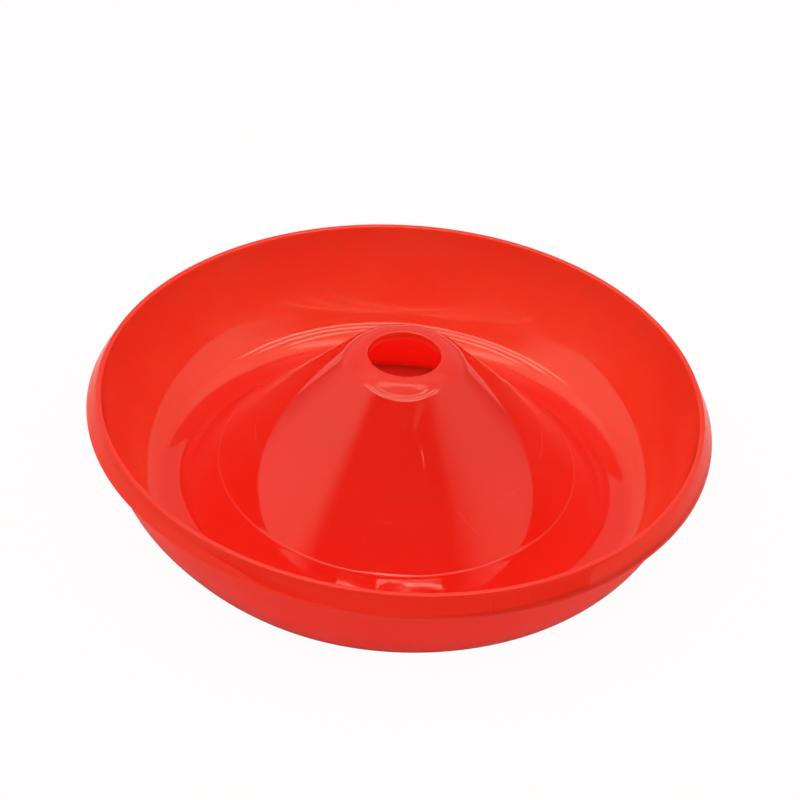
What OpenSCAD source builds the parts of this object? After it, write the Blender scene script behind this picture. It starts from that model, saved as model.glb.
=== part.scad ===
// Shallow round feeder pan, moulded in one piece: a hollow cone with a hole in its top,
// a rounded trough all round it, and a curved outer wall with a turned-down rim band.
// Millimetres, +Z up, the origin is the centre of the base.

/* [Pan] */
// Outside diameter, over the lower edge of the rim band
rim_d = 330; // [320:1:345]
// Overall height, from the base to the top of the cone
pan_h = 92.5; // [88:0.5:97]
// Height of the lip above the base
lip_h = 63; // [58:0.5:68]
// Thickness of the moulded wall
wall_t = 2.5; // [2:0.1:3.2]

/* [Cone] */
// Diameter of the hole in the top of the cone
hole_d = 38.4; // [34:0.2:42]
// Depth of the collar that lines the hole, from the top of the cone
collar_h = 5; // [4:0.5:8]
// Thickness of the collar
collar_t = 2.7; // [2:0.1:3.5]
// Slope of the cone, in degrees from the level
cone_angle = 47; // [45:0.5:49]
// Radius of the rounded nose round the hole
nose_r = 18; // [14:0.5:21]
// Diameter of the fine raised ring near the foot of the cone
ring_d = 189.4; // [178:0.2:194]
// Width of the fine raised ring
ring_w = 0.9; // [0.6:0.1:1.4]
// Height of the fine raised ring above the cone
ring_h = 0.35; // [0.2:0.05:0.6]

/* [Trough] */
// Radius of the hollow where the cone meets the floor
foot_r = 11; // [8:0.5:14]
// Width of the flat strip along the bottom of the trough
floor_w = 7.5; // [5:0.5:10]
// Height of the centre of the wall's curve above the lip
bowl_rise = 36; // [28:1:44]

/* [Rim] */
// Width across the top of the lip
lip_w = 3; // [2.6:0.1:3.6]
// Height of the turned-down band, from the lip to its lower edge
band_h = 11.4; // [9.4:0.2:13]
// Distance that the band flares out below the lip
band_flare = 4.7; // [4:0.1:6]
// Thickness of the band at its lower edge
band_t = 2; // [1.6:0.1:2.4]

/* [Hidden] */
$fn = 180;

// Steps along the curves of the section
arc_n = 12;
bowl_n = 32;
edge_n = 5;

// Small roundings of the hole's edge, the lip and the band's lower edge
edge_r = 0.8;
lip_r = 1;
band_r = 0.6;

// Depth of the band's root below the lip, and the width of the groove's closed end
root_h = 4.2;
groove_w = 0.6;

// Radii of the rim and of the hole
rim_r = rim_d / 2;
lip_out_r = rim_r - band_flare;
lip_in_r = lip_out_r - lip_w;
hole_r = hole_d / 2;

// Nose: a round that starts level at the hole and ends along the cone
nose_c = [hole_r + edge_r, pan_h - nose_r];
nose_end = nose_c + nose_r * [sin(cone_angle), cos(cone_angle)];

// Foot: a hollow round between the cone and the level floor
foot_z = wall_t + foot_r;
foot_c = [nose_end.x + (nose_end.y + foot_r / cos(cone_angle) - foot_z) / tan(cone_angle), foot_z];

// Wall: a quarter of an ellipse from the floor up to the lip
bowl_r = foot_c.x + floor_w;
bowl_z = lip_h + bowl_rise;
bowl_b = bowl_z - wall_t;
lip_th = asin((bowl_z - lip_h + lip_r) / bowl_b);
bowl_a = (lip_in_r - bowl_r) / cos(lip_th);

// Raised ring, standing square to the cone
cone_dir = [cos(cone_angle), -sin(cone_angle)];
cone_out = [sin(cone_angle), cos(cone_angle)];
ring_r = ring_d / 2;
ring_c = nose_end + (ring_r - nose_end.x) / cone_dir.x * cone_dir;

// Rim band, and the groove between it and the wall
band_z = lip_h - band_h;
groove_z = lip_h - root_h;
groove_th = asin((bowl_z - groove_z) / bowl_z);
groove_r = bowl_r + (bowl_a + wall_t) * cos(groove_th);

// Collar under the nose
collar_r = hole_r + collar_t;
under_r = nose_r - wall_t;
collar_th = asin((collar_r - nose_c.x) / under_r);

// Points on a circle of radius r about c, from angle a0 to a1
function arc(c, r, a0, a1, n) =
    [for (i = [0:n]) let (a = a0 + (a1 - a0) * i / n) c + r * [cos(a), sin(a)]];

// Points on the wall's ellipse, grown by t, from angle a0 to a1 below the level
function bowl(t, a0, a1, n) =
    [for (i = [0:n]) let (a = a0 + (a1 - a0) * i / n)
        [bowl_r + (bowl_a + t) * cos(a), bowl_z - (bowl_b + t) * sin(a)]];

// Upper side of the section, from the hole out to the lip
function upper_side() = concat(
    [[hole_r, pan_h - collar_h]],
    arc([hole_r + edge_r, pan_h - edge_r], edge_r, 180, 90, edge_n),
    arc(nose_c, nose_r, 86, 90 - cone_angle, arc_n),
    [ring_c - ring_w / 2 * cone_dir],
    [ring_c - ring_w / 5 * cone_dir + ring_h * cone_out],
    [ring_c + ring_w / 5 * cone_dir + ring_h * cone_out],
    [ring_c + ring_w / 2 * cone_dir],
    arc(foot_c, foot_r, 270 - cone_angle, 270, arc_n),
    bowl(0, 90, lip_th, bowl_n));

// Lip and band, from the inside of the lip to the bottom of the groove
function rim_side() = concat(
    arc([lip_in_r + lip_r, lip_h - lip_r], lip_r, 150, 90, edge_n),
    arc([lip_out_r - lip_r, lip_h - lip_r], lip_r, 90, 25, edge_n),
    arc([rim_r - band_r, band_z + band_r], band_r, 0, -90, edge_n),
    [[rim_r - band_t, band_z]],
    [[groove_r + groove_w, groove_z]]);

// Under side, from the groove round the base and up inside the cone to the collar
function under_side() = concat(
    bowl(wall_t, groove_th, 90, bowl_n),
    arc(foot_c, foot_r + wall_t, 270, 270 - cone_angle, arc_n),
    arc(nose_c, under_r, 90 - cone_angle, 90 - collar_th, arc_n),
    [[collar_r, pan_h - collar_h]]);

// The whole pan is one turned section
module feeder_pan() {
    color("#e4261c")
        rotate_extrude()
            polygon(concat(upper_side(), rim_side(), under_side()));
}

feeder_pan();
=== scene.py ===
"""Looks of the feeder pan: a finely turned shell in glossy plastic, on a pale floor in a light tent.

Lengths are in metres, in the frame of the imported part: +Z up, the origin at the centre of the base.
"""

import math

import bpy
from mathutils import Matrix, Vector


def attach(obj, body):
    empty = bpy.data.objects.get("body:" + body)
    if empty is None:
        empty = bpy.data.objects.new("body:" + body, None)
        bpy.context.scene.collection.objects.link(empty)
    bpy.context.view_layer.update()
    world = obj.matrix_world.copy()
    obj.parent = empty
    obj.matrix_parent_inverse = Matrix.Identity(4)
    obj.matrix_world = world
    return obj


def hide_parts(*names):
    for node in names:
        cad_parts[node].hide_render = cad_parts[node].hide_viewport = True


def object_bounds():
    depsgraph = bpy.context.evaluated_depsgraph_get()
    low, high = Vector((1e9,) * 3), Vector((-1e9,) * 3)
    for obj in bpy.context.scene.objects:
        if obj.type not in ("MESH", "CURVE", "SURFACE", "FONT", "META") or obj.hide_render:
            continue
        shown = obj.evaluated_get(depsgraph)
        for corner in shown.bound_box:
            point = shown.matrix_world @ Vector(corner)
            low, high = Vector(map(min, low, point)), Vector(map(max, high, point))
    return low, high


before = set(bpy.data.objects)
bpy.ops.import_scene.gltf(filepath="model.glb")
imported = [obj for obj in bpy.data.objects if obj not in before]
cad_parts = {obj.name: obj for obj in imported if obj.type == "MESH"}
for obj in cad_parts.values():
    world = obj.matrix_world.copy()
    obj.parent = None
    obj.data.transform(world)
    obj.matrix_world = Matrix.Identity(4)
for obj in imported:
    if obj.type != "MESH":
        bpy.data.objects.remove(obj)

cad_low, cad_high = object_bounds()

MM = 0.001

# Pan: the overall sizes come from the frame, the rest repeat the part's own values
RIM_R = min(-cad_low.x, cad_high.x, -cad_low.y, cad_high.y)
PAN_H = cad_high.z
LIP_H = 63 * MM
WALL_T = 2.5 * MM

# Cone
HOLE_R = 19.2 * MM
COLLAR_H = 5 * MM
COLLAR_T = 2.7 * MM
CONE_ANGLE = math.radians(47)
NOSE_R = 18 * MM
RING_R = 94.7 * MM
RING_W = 0.8 * MM
RING_H = 0.055 * MM

# Trough
FOOT_R = 11 * MM
FLOOR_W = 7.5 * MM
BOWL_RISE = 36 * MM

# Rim
LIP_W = 3 * MM
BAND_H = 11.4 * MM
BAND_FLARE = 4.7 * MM
BAND_T = 2 * MM
ROOT_H = 4.2 * MM
GROOVE_W = 0.6 * MM

# Small roundings of the hole's edge, the lip and the band's lower edge
EDGE_R = 0.8 * MM
LIP_R = 1 * MM
BAND_R = 0.6 * MM

# Warp of the rim, all measured at its edge: the right and the back sit low, the ring is twisted,
# the band is deeper on the right, and the wall is pressed in at the left of the front
RIM_DROP_RIGHT = 0.7 * MM
RIM_DROP_BACK = 1.0 * MM
RIM_TWIST = 1.15 * MM
BAND_DROP_RIGHT = 1.1 * MM
BAND_ROOT, BAND_SIDE = 5.4 * MM, 4.9 * MM
WARP_FROM, WARP_TO = 128 * MM, 152 * MM
WALL_DENT, DENT_AT, DENT_SHARP = 2.6 * MM, math.radians(233), 18
DENT_FROM, DENT_TO = 128 * MM, 142 * MM
DENT_FULL_Z, DENT_END_Z = 40 * MM, 60 * MM

# Unevenness of the surface: heights of the long and the short waves
WAVE_LONG, WAVE_SHORT = 0.011 * MM, 0.007 * MM

# Mesh: steps round the pan, the longest step along the section, and steps in each of its curves
STEPS_ROUND = 264
SECTION_STEP = 1.8 * MM
EDGE_STEPS = 6
RING_STEPS = 8
NOSE_STEPS, UNDER_NOSE_STEPS = 26, 10
FOOT_STEPS, UNDER_FOOT_STEPS = 20, 12
BOWL_STEPS, UNDER_BOWL_STEPS = 56, 50

# Camera: the view of the photograph, whose frame is 800 pixels wide
IMAGE_PX = 800
SENSOR = 36 * MM
FOCAL_PX = 4139.5
VIEW_DISTANCE = 2.2
VIEW_ELEVATION = math.radians(38.46)
VIEW_ROLL = math.radians(4.3)
AIM_POINT = Vector((0, 0, 20.5 * MM))
AIM_PX = (396.6, 461.8)

# Plastic: deep red on the cone; the other reds are lit and shaded copies of the same plastic, painted light
# for the light that comes through the thin wall: more orange on the inside of the wall and more so at its
# back, brighter on the outside, a deeper red on the band, and a darker painted shade at the band's lower
# edge and on the lip's top
CONE_RED = (0.82, 0.0200, 0.0098, 1)
WALL_LIT_RED = (0.89, 0.0500, 0.0210, 1)
BACK_LIT_RED = (0.92, 0.0680, 0.0290, 1)
OUTER_LIT_RED = (0.94, 0.0270, 0.0140, 1)
BAND_RED = (0.87, 0.0250, 0.0080, 1)
SHADE_RED = (0.60, 0.0060, 0.0030, 1)
PALE_RED = (1.0, 0.55, 0.45, 1)

# Where the reds change: radii of the wall and the band, and how far back the wall's back begins
OUTER_FROM, OUTER_TO = 118 * MM, 140 * MM
BAND_FROM, BAND_TO = 158 * MM, 160.5 * MM
BACK_FROM, BACK_TO = 20 * MM, 120 * MM
INWARD = (0.05, -0.45)

# Cloudiness: size of the clouds, the part of the noise that is used, and how far it shifts the red
CLOUD_SCALE = 28.0
NOISE_LOW, NOISE_HIGH = 0.3, 0.7
CLOUD_LOW, CLOUD_HIGH = 0.92, 1.08

# Painted shade: a darker line at the band's lower edge, and a darker top of the lip, where light falls
# strongest; the same top of the lip is also made rougher, as worn
EDGE_LIFT, EDGE_HALF, EDGE_SHARE = 0.5 * MM, 3.0 * MM, 0.75
EDGE_BAND = (156 * MM, 159 * MM)
LIP_TOP_LOW, LIP_TOP_HIGH, LIP_SHADE_SHARE = 1.6 * MM, 0.4 * MM, 0.15
LIP_TOP_BAND = (150 * MM, 154 * MM)

# Specks: cells per metre, size within a cell, and which of the cells have one
SPECK_SCALE = 55.0
SPECK_SIZE = (0.018, 0.034)
SPECK_PICK = (0.80, 0.82)

# Hairline scratches: turn, scale and shift of each set, how thin they are, and the patches they lie in
SCRATCHES = ((0.5, 34.0, 0.0), (1.7, 27.0, 3.1), (2.6, 41.0, 7.7))
SCRATCH_LINE = (0.9990, 0.9998)
SCRATCH_PATCH_SCALE, SCRATCH_PATCH = 30.0, (0.66, 0.74)

# Faint scuffed circle on the cone, a painted highlight along the raised ring, and how pale each mark is:
# the wear, the specks, and the ring's painted highlight
SCUFF_R, SCUFF_HALF = 76 * MM, (0.2 * MM, 0.7 * MM)
SCUFF_PATCH_SCALE, SCUFF_PATCH = 45.0, (0.48, 0.62)
SCUFF_SHARE = 0.6
RING_HALF = (0.6 * MM, 0.25 * MM)
PALE_WEAR, PALE_SPECK, RING_HIGHLIGHT = 0.06, 0.10, 0.06

# Gloss: the smooth plastic's roughness, what wear and rubbing add to it, and light under the surface
HAZE_SCALE = 60.0
ROUGH_LOW, ROUGH_HIGH = 0.02, 0.045
ROUGH_WEAR, RUB_WEAR = 0.22, 0.9
PLASTIC_IOR = 1.49
GLOSS_TINT = (1, 1, 0.75, 1)
GLOW_DEPTH = 2.5 * MM
GLOW_SPREAD = (1.0, 0.05, 0.03)

# Relief: depth of the whole, and the shares of the grain and of the scratches
BUMP_DEPTH = 0.05 * MM
GRAIN_SCALE, GRAIN_SHARE = 900.0, 0.05
SCRATCH_DEPTH = 0.5

# Light: brightness of the tent's walls and of its opening, then rows of lamps: elevation and half width
# in degrees, and brightness
TENT_LIGHT = 1.0
WALL_LEFT, WALL_RIGHT = 1.05, 0.85
WALL_BACK = 0.60
OPENING, OPENING_LOW = 0.045, 0.40
HORIZON = 0.18
ROWS, ROW_HALF, ROW_LIGHT = (50.5, 57.5, 66.0), 1.2, 5.0
BACK_ROW, BACK_ROW_HALF, BACK_ROW_LIGHT = 73.0, 4.5, 1.8

# Where each part of the tent starts and ends: shares of the way toward the camera, to the right and up
BACK_SIDE, BACK_TOP = (0.1, -0.75), (0.7, 0.78)
OPENING_LEFT, OPENING_RIGHT = (-0.92, -0.75), (0.7, 1.0)
OPENING_FRONT, OPENING_TOP = (0.0, 0.1), (0.755, 0.785)
OPENING_RISE, HORIZON_RISE = (0.3, 0.5), (-0.05, 0.30)
ROW_SIDE, BACK_ROW_SIDE = (-0.15, 0.1), (0.2, -0.3)

# Light that comes through the cone into its hollow: a disc that faces down
HOLLOW_R, HOLLOW_Z = 82 * MM, 27 * MM
HOLLOW_COLOUR = (1.0, 0.11, 0.075)
HOLLOW_WATTS = 0.066

# Thin lamps that leave bright lines on the cone and at its foot: ends in millimetres, width, brightness
STRIP_TARGET = Vector((5 * MM, -97 * MM, 16 * MM))
STRIPS = (
    ((-56, -478, 411), (112, -471, 409), 1.5 * MM, 7.0),
    ((90, -473, 407), (258, -425, 391), 3.0 * MM, 7.0),
    ((10, -484, 406), (150, -472, 403), 1.2 * MM, 6.0),
    ((-241, -434, 393), (-119, -472, 405), 2.0 * MM, 5.0),
    ((150, -393, 482), (308, -298, 466), 12 * MM, 0.4),
    ((205, -380, 462), (220, -381, 454), 5 * MM, 3.0),
)

# Floor: how much of it shows as plain white, and its colour under that, tinted pink as painted red light
# from the pan
FLOOR_WHITE = 0.965
FLOOR_PAINT_AND_RED_LIGHT = (0.95, 0.50, 0.45, 1)
FLOOR_HALF = 6.0

# White shows to the eye from under the pan's base outward, and in reflections only far off
SEEN_FROM, SEEN_TO = 116 * MM, 124 * MM
MIRROR_FROM, MIRROR_TO = 2.5, 6.0


# Section of the pan, as (radius, height) points

def arc(centre, radius, start, end, steps):
    """Points on a circle, from one angle to another in degrees."""
    points = []
    for i in range(steps + 1):
        a = math.radians(start + (end - start) * i / steps)
        points.append((centre[0] + radius * math.cos(a), centre[1] + radius * math.sin(a)))
    return points


def bowl(centre, a, b, start, end, steps):
    """Points on the lower outer quarter of an ellipse, between two angles below the level, in radians."""
    points = []
    for i in range(steps + 1):
        t = start + (end - start) * i / steps
        points.append((centre[0] + a * math.cos(t), centre[1] - b * math.sin(t)))
    return points


def straight(points, step):
    """The same outline, with its long straight stretches cut into steps."""
    filled = [points[0]]
    for p, q in zip(points, points[1:]):
        n = max(1, round(math.dist(p, q) / step))
        for i in range(1, n + 1):
            filled.append((p[0] + (q[0] - p[0]) * i / n, p[1] + (q[1] - p[1]) * i / n))
    return filled


def section():
    """The closed outline of the wall, from the hole over the upper side and back along the under side."""
    slope = math.degrees(CONE_ANGLE)
    along = (math.cos(CONE_ANGLE), -math.sin(CONE_ANGLE))
    out = (math.sin(CONE_ANGLE), math.cos(CONE_ANGLE))

    nose = (HOLE_R + EDGE_R, PAN_H - NOSE_R)
    nose_end = (nose[0] + NOSE_R * out[0], nose[1] + NOSE_R * out[1])
    foot_z = WALL_T + FOOT_R
    foot_r = nose_end[0] + (nose_end[1] + FOOT_R / out[1] - foot_z) / math.tan(CONE_ANGLE)
    foot = (foot_r, foot_z)

    lip_out = RIM_R - BAND_FLARE
    lip_in = lip_out - LIP_W
    bowl_c = (foot_r + FLOOR_W, LIP_H + BOWL_RISE)
    bowl_b = bowl_c[1] - WALL_T
    lip_t = math.asin((BOWL_RISE + LIP_R) / bowl_b)
    bowl_a = (lip_in - bowl_c[0]) / math.cos(lip_t)

    ring_at = (RING_R - nose_end[0]) / along[0]

    def on_ring(s, h):
        return (nose_end[0] + (ring_at + s) * along[0] + h * out[0],
                nose_end[1] + (ring_at + s) * along[1] + h * out[1])

    ring = []
    for i in range(RING_STEPS + 1):
        t = 2 * i / RING_STEPS - 1
        ring.append(on_ring(t * RING_W / 2, RING_H * (0.5 + 0.5 * math.cos(math.pi * t))))

    upper = [(HOLE_R, PAN_H - COLLAR_H)]
    upper += arc((HOLE_R + EDGE_R, PAN_H - EDGE_R), EDGE_R, 180, 90, EDGE_STEPS)
    upper += arc(nose, NOSE_R, 87, 90 - slope, NOSE_STEPS)
    upper += ring
    upper += arc(foot, FOOT_R, 270 - slope, 270, FOOT_STEPS)
    upper += bowl(bowl_c, bowl_a, bowl_b, math.pi / 2, lip_t, BOWL_STEPS)

    band_z = LIP_H - BAND_H
    rim = arc((lip_in + LIP_R, LIP_H - LIP_R), LIP_R, 165, 90, EDGE_STEPS)
    rim += arc((lip_out - LIP_R, LIP_H - LIP_R), LIP_R, 90, 25, EDGE_STEPS)
    rim += arc((RIM_R - BAND_R, band_z + BAND_R), BAND_R, 10, -90, EDGE_STEPS)
    rim += [(RIM_R - BAND_T, band_z)]

    groove_z = LIP_H - ROOT_H
    groove_t = math.asin((bowl_c[1] - groove_z) / (bowl_b + WALL_T))
    groove_r = bowl_c[0] + (bowl_a + WALL_T) * math.cos(groove_t)
    rim += [(groove_r + GROOVE_W, groove_z)]

    collar_r = HOLE_R + COLLAR_T
    under_r = NOSE_R - WALL_T
    collar_a = math.degrees(math.acos((collar_r - nose[0]) / under_r))
    under = bowl(bowl_c, bowl_a + WALL_T, bowl_b + WALL_T, groove_t, math.pi / 2, UNDER_BOWL_STEPS)
    under += arc(foot, FOOT_R + WALL_T, 270, 270 - slope, UNDER_FOOT_STEPS)
    under += arc(nose, under_r, 90 - slope, collar_a, UNDER_NOSE_STEPS)
    under += [(collar_r, PAN_H - COLLAR_H)]

    outline = straight(upper + rim + under + upper[:1], SECTION_STEP)
    return outline[:-1]


# Small errors of shape, left by the mould and by shrinkage

def smooth(x, low, high):
    """0 below low, 1 above high, smooth between."""
    t = min(max((x - low) / (high - low), 0), 1)
    return t * t * (3 - 2 * t)


def sag(r, z, a):
    """How far a point of the rim sits above its true height, at radius r, height z and angle a."""
    rise = RIM_TWIST * math.sin(2 * a) - RIM_DROP_RIGHT * math.cos(a) - RIM_DROP_BACK * math.sin(a)
    rise *= smooth(r, WARP_FROM, WARP_TO)
    band = smooth(r, RIM_R - BAND_ROOT, RIM_R - BAND_SIDE) * (LIP_H - z) / BAND_H
    return rise - band * BAND_DROP_RIGHT * math.cos(a)


def dent(r, z, a):
    """How far the wall is pressed in toward the axis."""
    near = max(0, math.cos(a - DENT_AT)) ** DENT_SHARP
    below = 1 - smooth(z, DENT_FULL_Z, DENT_END_Z)
    return WALL_DENT * near * smooth(r, DENT_FROM, DENT_TO) * below


def wave(r, z, a):
    """How far the surface stands off the true section, along its normal."""
    low = math.sin(5 * a + 90 * r) * math.sin(220 * r + 140 * z + 1.3)
    mid = math.sin(11 * a - 310 * r + 0.7) * math.sin(420 * z - 160 * r)
    inner = smooth(r, 40 * MM, 60 * MM) * (1 - smooth(r, 140 * MM, 154 * MM)) * smooth(z, 1 * MM, 3 * MM)
    return (WAVE_LONG * low + WAVE_SHORT * mid) * inner


def lathe(name, outline, steps):
    """A closed mesh: the outline turned about +Z."""
    n = len(outline)
    normals = []
    for i in range(n):
        (r0, z0), (r1, z1) = outline[i - 1], outline[(i + 1) % n]
        length = math.hypot(r1 - r0, z1 - z0)
        normals.append(((z0 - z1) / length, (r1 - r0) / length))
    verts = []
    for j in range(steps):
        a = 2 * math.pi * j / steps
        ca, sa = math.cos(a), math.sin(a)
        for (r, z), (nr, nz) in zip(outline, normals):
            w = wave(r, z, a)
            out = r + w * nr - dent(r, z, a)
            verts.append((out * ca, out * sa, z + w * nz + sag(r, z, a)))
    faces = []
    for j in range(steps):
        k = (j + 1) % steps
        for i in range(n):
            m = (i + 1) % n
            faces.append((j * n + i, k * n + i, k * n + m, j * n + m))
    mesh = bpy.data.meshes.new(name)
    mesh.from_pydata(verts, [], faces)
    mesh.update()
    mesh.polygons.foreach_set("use_smooth", [True] * len(mesh.polygons))
    obj = bpy.data.objects.new(name, mesh)
    bpy.context.scene.collection.objects.link(obj)
    return obj


# Material nodes

class Nodes:
    """Short ways to add and join the nodes of one tree."""

    def __init__(self, tree):
        self.tree = tree
        tree.nodes.clear()

    def add(self, kind, **inputs):
        node = self.tree.nodes.new(kind)
        for key, value in inputs.items():
            self.put(node.inputs[key.replace("_", " ")], value)
        return node

    def put(self, socket, value):
        if isinstance(value, bpy.types.NodeSocket):
            self.tree.links.new(value, socket)
        else:
            socket.default_value = value

    def math(self, operation, a, b=0.0):
        node = self.tree.nodes.new("ShaderNodeMath")
        node.operation = operation
        for socket, value in zip(node.inputs, (a, b)):
            self.put(socket, value)
        return node.outputs[0]

    def step(self, value, low, high):
        """0 below low, 1 above high, smooth between."""
        node = self.tree.nodes.new("ShaderNodeMapRange")
        node.interpolation_type = "SMOOTHSTEP"
        for socket, v in zip(node.inputs, (value, low, high, 0.0, 1.0)):
            self.put(socket, v)
        return node.outputs[0]

    def span(self, value, low, high, to_low, to_high):
        """The range low to high, moved to another range in a straight line."""
        node = self.tree.nodes.new("ShaderNodeMapRange")
        for socket, v in zip(node.inputs, (value, low, high, to_low, to_high)):
            self.put(socket, v)
        return node.outputs[0]

    def noise(self, vector, scale, detail=2.0, rough=0.5):
        node = self.add("ShaderNodeTexNoise", Vector=vector, Scale=scale, Detail=detail, Roughness=rough)
        return node.outputs["Fac"]

    def mix(self, factor, a, b):
        node = self.tree.nodes.new("ShaderNodeMix")
        node.data_type = "RGBA"
        self.put(node.inputs["Factor"], factor)
        self.put(node.inputs[6], a)
        self.put(node.inputs[7], b)
        return node.outputs[2]


def plastic():
    """Glossy red moulded plastic, faintly uneven, with hairline scratches and a few specks, and reds by
    place that are painted light and shade.
    """
    mat = bpy.data.materials.new("pan_plastic")
    mat.use_nodes = True
    n = Nodes(mat.node_tree)
    place = n.add("ShaderNodeTexCoord").outputs["Object"]

    flat = n.add("ShaderNodeVectorMath", Vector=place)
    flat.operation = "MULTIPLY"
    flat.inputs[1].default_value = (1, 1, 0)
    radius = n.add("ShaderNodeVectorMath", Vector=flat.outputs["Vector"])
    radius.operation = "LENGTH"
    radius = radius.outputs["Value"]

    # Reds by place, painted light and shade in copies of one plastic: cone, outside, band, inside of the
    # wall and its back, and the darker painted shade at the band's edge and the lip's top
    cloud = n.span(n.noise(place, CLOUD_SCALE, 3.0), NOISE_LOW, NOISE_HIGH, CLOUD_LOW, CLOUD_HIGH)
    facing = n.add("ShaderNodeVectorMath", Vector=n.add("ShaderNodeNewGeometry").outputs["Normal"])
    facing.operation = "DOT_PRODUCT"
    n.put(facing.inputs[1], flat.outputs["Vector"])
    inward = n.math("DIVIDE", facing.outputs["Value"], n.math("MAXIMUM", radius, 1 * MM))
    inward = n.step(inward, *INWARD)
    axes = n.add("ShaderNodeSeparateXYZ", Vector=place).outputs
    high = axes["Z"]
    colour = n.mix(n.step(radius, OUTER_FROM, OUTER_TO), CONE_RED, OUTER_LIT_RED)
    colour = n.mix(n.step(radius, BAND_FROM, BAND_TO), colour, BAND_RED)
    inner = n.mix(n.step(axes["Y"], BACK_FROM, BACK_TO), WALL_LIT_RED, BACK_LIT_RED)
    colour = n.mix(inward, colour, inner)
    # Painted shade: a darker line along the band's lower edge
    edge = n.math("ABSOLUTE", n.math("SUBTRACT", high, LIP_H - BAND_H + EDGE_LIFT))
    edge = n.math("MULTIPLY", n.step(edge, EDGE_HALF, 0.0), n.step(radius, *EDGE_BAND))
    # Painted shade on the lip's top, where light falls strongest; further down, the same mask makes it
    # rougher, as worn
    lip_wear_and_shade = n.step(high, LIP_H - LIP_TOP_LOW, LIP_H - LIP_TOP_HIGH)
    lip_wear_and_shade = n.math("MULTIPLY", lip_wear_and_shade, n.step(radius, *LIP_TOP_BAND))
    edge = n.math("ADD", n.math("MULTIPLY", edge, EDGE_SHARE), n.math("MULTIPLY", lip_wear_and_shade, LIP_SHADE_SHARE))
    colour = n.mix(edge, colour, SHADE_RED)
    shade = n.add("ShaderNodeVectorMath", Vector=colour)
    shade.operation = "MULTIPLY"
    n.put(shade.inputs[1], n.add("ShaderNodeCombineXYZ", X=1.0, Y=cloud, Z=cloud).outputs[0])
    colour = shade.outputs["Vector"]

    # Specks, hairline scratches, the scuffed circle, and a painted highlight along the ring
    cell = n.add("ShaderNodeTexVoronoi", Vector=place, Scale=SPECK_SCALE)
    picked = n.add("ShaderNodeSeparateXYZ", Vector=cell.outputs["Color"]).outputs
    speck = n.math("SUBTRACT", 1.0, n.step(cell.outputs["Distance"], *SPECK_SIZE))
    speck = n.math("MULTIPLY", speck, n.step(picked[0], *SPECK_PICK))

    scratch = 0.0
    for turn, scale, seed in SCRATCHES:
        tilt = n.add("ShaderNodeMapping", Vector=place, Location=(seed, 0, 0), Rotation=(0.3, 0.2, turn))
        band = n.add("ShaderNodeTexWave", Vector=tilt.outputs[0], Scale=scale, Distortion=1.2, Detail=1.0)
        band.inputs["Detail Scale"].default_value = 0.4
        line = n.step(band.outputs["Fac"], *SCRATCH_LINE)
        patch = n.step(n.noise(tilt.outputs[0], SCRATCH_PATCH_SCALE, 1.0), *SCRATCH_PATCH)
        scratch = n.math("MAXIMUM", scratch, n.math("MULTIPLY", line, patch))

    across = n.math("ABSOLUTE", n.math("SUBTRACT", radius, SCUFF_R))
    scuff = n.math("SUBTRACT", 1.0, n.step(across, *SCUFF_HALF))
    scuff = n.math("MULTIPLY", scuff, n.step(n.noise(place, SCUFF_PATCH_SCALE, 3.0), *SCUFF_PATCH))
    # Painted highlight: a paler line along the raised ring
    across = n.math("ABSOLUTE", n.math("SUBTRACT", radius, RING_R))
    ring = n.step(across, *RING_HALF)
    wear = n.math("MAXIMUM", scratch, n.math("MULTIPLY", scuff, SCUFF_SHARE))
    pale = n.math("MAXIMUM", n.math("MULTIPLY", wear, PALE_WEAR), n.math("MULTIPLY", speck, PALE_SPECK))
    pale = n.math("MAXIMUM", pale, n.math("MULTIPLY", ring, RING_HIGHLIGHT))
    colour = n.mix(pale, colour, PALE_RED)

    # Gloss and relief
    haze = n.noise(place, HAZE_SCALE, 4.0, 0.6)
    rough = n.span(haze, NOISE_LOW, NOISE_HIGH, ROUGH_LOW, ROUGH_HIGH)
    wear = n.math("MAXIMUM", wear, n.math("MULTIPLY", lip_wear_and_shade, RUB_WEAR))
    rough = n.math("ADD", rough, n.math("MULTIPLY", wear, ROUGH_WEAR))

    grain = n.math("MULTIPLY", n.noise(place, GRAIN_SCALE, 2.0), GRAIN_SHARE)
    height = n.math("ADD", grain, n.math("SUBTRACT", speck, n.math("MULTIPLY", scratch, SCRATCH_DEPTH)))
    bump = n.add("ShaderNodeBump", Strength=1.0, Distance=BUMP_DEPTH, Height=height)

    shader = n.add("ShaderNodeBsdfPrincipled", Base_Color=colour, Roughness=rough, IOR=PLASTIC_IOR)
    n.put(shader.inputs["Normal"], bump.outputs["Normal"])
    shader.inputs["Specular Tint"].default_value = GLOSS_TINT
    shader.inputs["Subsurface Weight"].default_value = 1.0
    shader.inputs["Subsurface Radius"].default_value = GLOW_SPREAD
    shader.inputs["Subsurface Scale"].default_value = GLOW_DEPTH
    n.add("ShaderNodeOutputMaterial", Surface=shader.outputs[0])
    return mat


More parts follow.
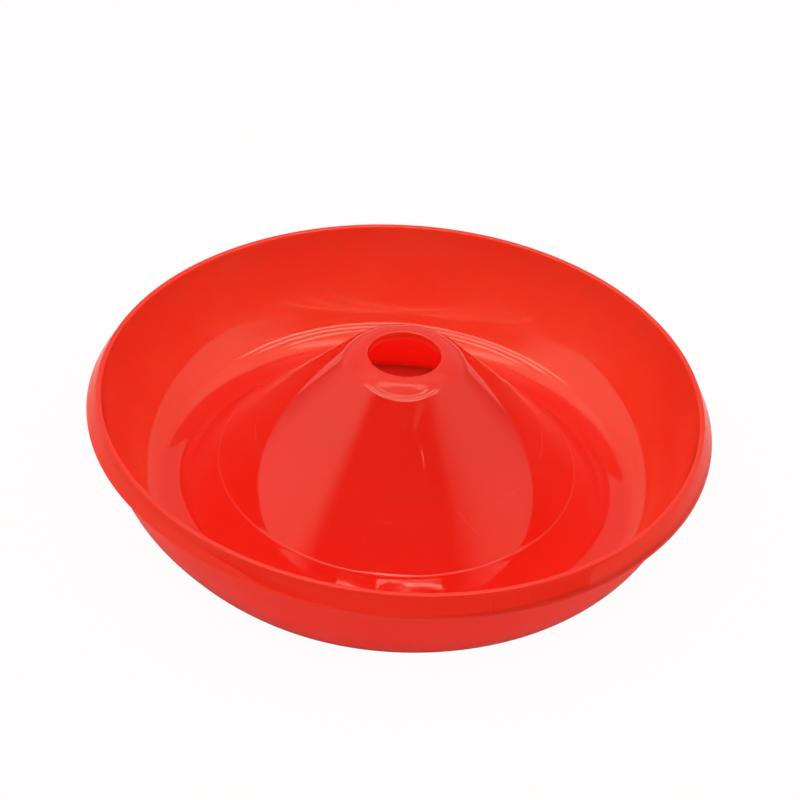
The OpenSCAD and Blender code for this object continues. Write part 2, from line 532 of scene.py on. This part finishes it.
def floor_material():
    """Floor, white to the eye, keeping part of the shadow, and clear from below; its diffuse colour is
    tinted pink, painted red light from the pan.
    """
    mat = bpy.data.materials.new("studio_floor")
    mat.use_nodes = True
    n = Nodes(mat.node_tree)
    path = n.add("ShaderNodeLightPath").outputs
    place = n.add("ShaderNodeTexCoord").outputs["Object"]
    away = n.add("ShaderNodeVectorMath", Vector=place)
    away.operation = "LENGTH"
    away = away.outputs["Value"]
    mirrored = n.math("MAXIMUM", path["Is Glossy Ray"], path["Is Transmission Ray"])
    mirrored = n.math("MULTIPLY", mirrored, n.step(away, MIRROR_FROM, MIRROR_TO))
    seen = n.math("MULTIPLY", path["Is Camera Ray"], n.step(away, SEEN_FROM, SEEN_TO))
    shown = n.math("MULTIPLY", n.math("MAXIMUM", seen, mirrored), FLOOR_WHITE)
    white = n.add("ShaderNodeEmission", Color=(1, 1, 1, 1), Strength=1.0)
    # Tinted pink: painted red light from the pan, seen under it and bounced onto its outside
    red_lit_paint = n.add("ShaderNodeBsdfDiffuse", Color=FLOOR_PAINT_AND_RED_LIGHT)
    mix = n.add("ShaderNodeMixShader", Fac=shown)
    n.put(mix.inputs[1], red_lit_paint.outputs[0])
    n.put(mix.inputs[2], white.outputs[0])
    below = n.add("ShaderNodeMixShader", Fac=n.add("ShaderNodeNewGeometry").outputs["Backfacing"])
    n.put(below.inputs[1], mix.outputs[0])
    n.put(below.inputs[2], n.add("ShaderNodeBsdfTransparent").outputs[0])
    n.add("ShaderNodeOutputMaterial", Surface=below.outputs[0])
    return mat


def tent():
    """Light tent: white walls and roof, a darker opening toward the camera, and rows of lamps above it."""
    world = bpy.data.worlds.new("light_tent")
    bpy.context.scene.world = world
    world.use_nodes = True
    n = Nodes(world.node_tree)
    split = n.add("ShaderNodeSeparateXYZ", Vector=n.add("ShaderNodeTexCoord").outputs["Generated"])
    x, y, z = split.outputs
    flat = n.math("SQRT", n.math("MAXIMUM", n.math("SUBTRACT", 1.0, n.math("MULTIPLY", z, z)), 1e-6))
    toward = n.math("DIVIDE", n.math("MULTIPLY", y, -1.0), flat)
    side = n.math("DIVIDE", x, flat)

    walls = n.span(side, -1.0, 1.0, WALL_LEFT, WALL_RIGHT)
    behind = n.step(toward, *BACK_SIDE)
    low = n.math("SUBTRACT", 1.0, n.step(z, *BACK_TOP))
    walls = n.math("MULTIPLY", walls, n.span(n.math("MULTIPLY", behind, low), 0.0, 1.0, 1.0, WALL_BACK))
    left = n.step(side, *OPENING_LEFT)
    right = n.math("SUBTRACT", 1.0, n.step(side, *OPENING_RIGHT))
    opening = n.math("MULTIPLY", n.math("MULTIPLY", left, right), n.step(toward, *OPENING_FRONT))
    opening = n.math("MULTIPLY", opening, n.math("SUBTRACT", 1.0, n.step(z, *OPENING_TOP)))
    inside = n.span(n.step(z, *OPENING_RISE), 0.0, 1.0, OPENING_LOW, OPENING)
    light = n.math("MULTIPLY", walls, n.span(opening, 0.0, 1.0, 1.0, inside))
    light = n.math("MULTIPLY", light, n.span(n.step(z, *HORIZON_RISE), 0.0, 1.0, HORIZON, 1.0))

    def row(elevation, half, strength, where):
        centre = math.sin(math.radians(elevation))
        width = math.cos(math.radians(elevation)) * math.radians(half)
        off = n.math("ABSOLUTE", n.math("SUBTRACT", z, centre))
        lit = n.math("SUBTRACT", 1.0, n.step(off, 0.6 * width, 1.4 * width))
        return n.math("MULTIPLY", n.math("MULTIPLY", lit, where), strength)

    front = n.step(toward, *ROW_SIDE)
    for elevation in ROWS:
        light = n.math("ADD", light, row(elevation, ROW_HALF, ROW_LIGHT, front))
    rear = n.step(toward, *BACK_ROW_SIDE)
    light = n.math("ADD", light, row(BACK_ROW, BACK_ROW_HALF, BACK_ROW_LIGHT, rear))

    back = n.add("ShaderNodeBackground", Color=(1, 1, 1, 1), Strength=n.math("MULTIPLY", light, TENT_LIGHT))
    n.add("ShaderNodeOutputWorld", Surface=back.outputs[0])


def hollow_light():
    """Dim red light under the cone, for what comes through its thin wall."""
    data = bpy.data.lights.new("hollow", "AREA")
    data.shape = "DISK"
    data.size = 2 * HOLLOW_R
    data.color = HOLLOW_COLOUR
    data.energy = HOLLOW_WATTS
    obj = bpy.data.objects.new("hollow", data)
    obj.location = (0, 0, HOLLOW_Z)
    obj.visible_camera = obj.visible_glossy = False
    bpy.context.scene.collection.objects.link(obj)


def strip(name, start, end, width, radiance):
    """A thin lamp between two points, facing the front of the cone; only its mirror image is of use."""
    start, end = Vector(start) * MM, Vector(end) * MM
    along = end - start
    data = bpy.data.lights.new(name, "AREA")
    data.shape = "RECTANGLE"
    data.size, data.size_y = along.length, width
    data.energy = math.pi * data.size * data.size_y * radiance
    obj = bpy.data.objects.new(name, data)
    centre = (start + end) / 2
    x = along.normalized()
    z = centre - STRIP_TARGET
    z = (z - x * z.dot(x)).normalized()
    y = z.cross(x)
    obj.matrix_world = Matrix((
        (x.x, y.x, z.x, centre.x),
        (x.y, y.y, z.y, centre.y),
        (x.z, y.z, z.z, centre.z),
        (0, 0, 0, 1),
    ))
    obj.visible_camera = False
    bpy.context.scene.collection.objects.link(obj)


def floor():
    """A wide plane that the pan stands on."""
    half = FLOOR_HALF
    mesh = bpy.data.meshes.new("studio_floor")
    corners = [(-half, -half, 0), (half, -half, 0), (half, half, 0), (-half, half, 0)]
    mesh.from_pydata(corners, [], [(0, 1, 2, 3)])
    obj = bpy.data.objects.new("studio_floor", mesh)
    bpy.context.scene.collection.objects.link(obj)
    mesh.materials.append(floor_material())


def camera():
    """The photograph's viewpoint, turned so that the ring's centre falls on its own pixel."""
    ce, se = math.cos(VIEW_ELEVATION), math.sin(VIEW_ELEVATION)
    cr, sr = math.cos(VIEW_ROLL), math.sin(VIEW_ROLL)
    back = Vector((0, -ce, se))
    level, rise = Vector((1, 0, 0)), Vector((0, se, ce))
    right = level * cr + rise * sr
    up = rise * cr - level * sr
    place = AIM_POINT + back * VIEW_DISTANCE

    off_x = AIM_PX[0] - IMAGE_PX / 2
    off_y = AIM_PX[1] - IMAGE_PX / 2
    back = (back * FOCAL_PX + right * off_x - up * off_y).normalized()
    right = (right - back * right.dot(back)).normalized()
    up = back.cross(right)

    data = bpy.data.cameras.new("view")
    data.sensor_width = SENSOR / MM
    data.lens = data.sensor_width * FOCAL_PX / IMAGE_PX
    data.clip_end = 100
    obj = bpy.data.objects.new("view", data)
    bpy.context.scene.collection.objects.link(obj)
    obj.matrix_world = Matrix((
        (right.x, up.x, back.x, place.x),
        (right.y, up.y, back.y, place.y),
        (right.z, up.z, back.z, place.z),
        (0, 0, 0, 1),
    ))
    bpy.context.scene.camera = obj


pan = lathe("pan_shell", section(), STEPS_ROUND)
pan.data.materials.append(plastic())
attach(pan, "root")
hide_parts("feeder_pan")

floor()
tent()
hollow_light()
for i, ends in enumerate(STRIPS):
    strip(f"strip_{i}", *ends)
camera()
bpy.context.scene.view_settings.view_transform = "Standard"
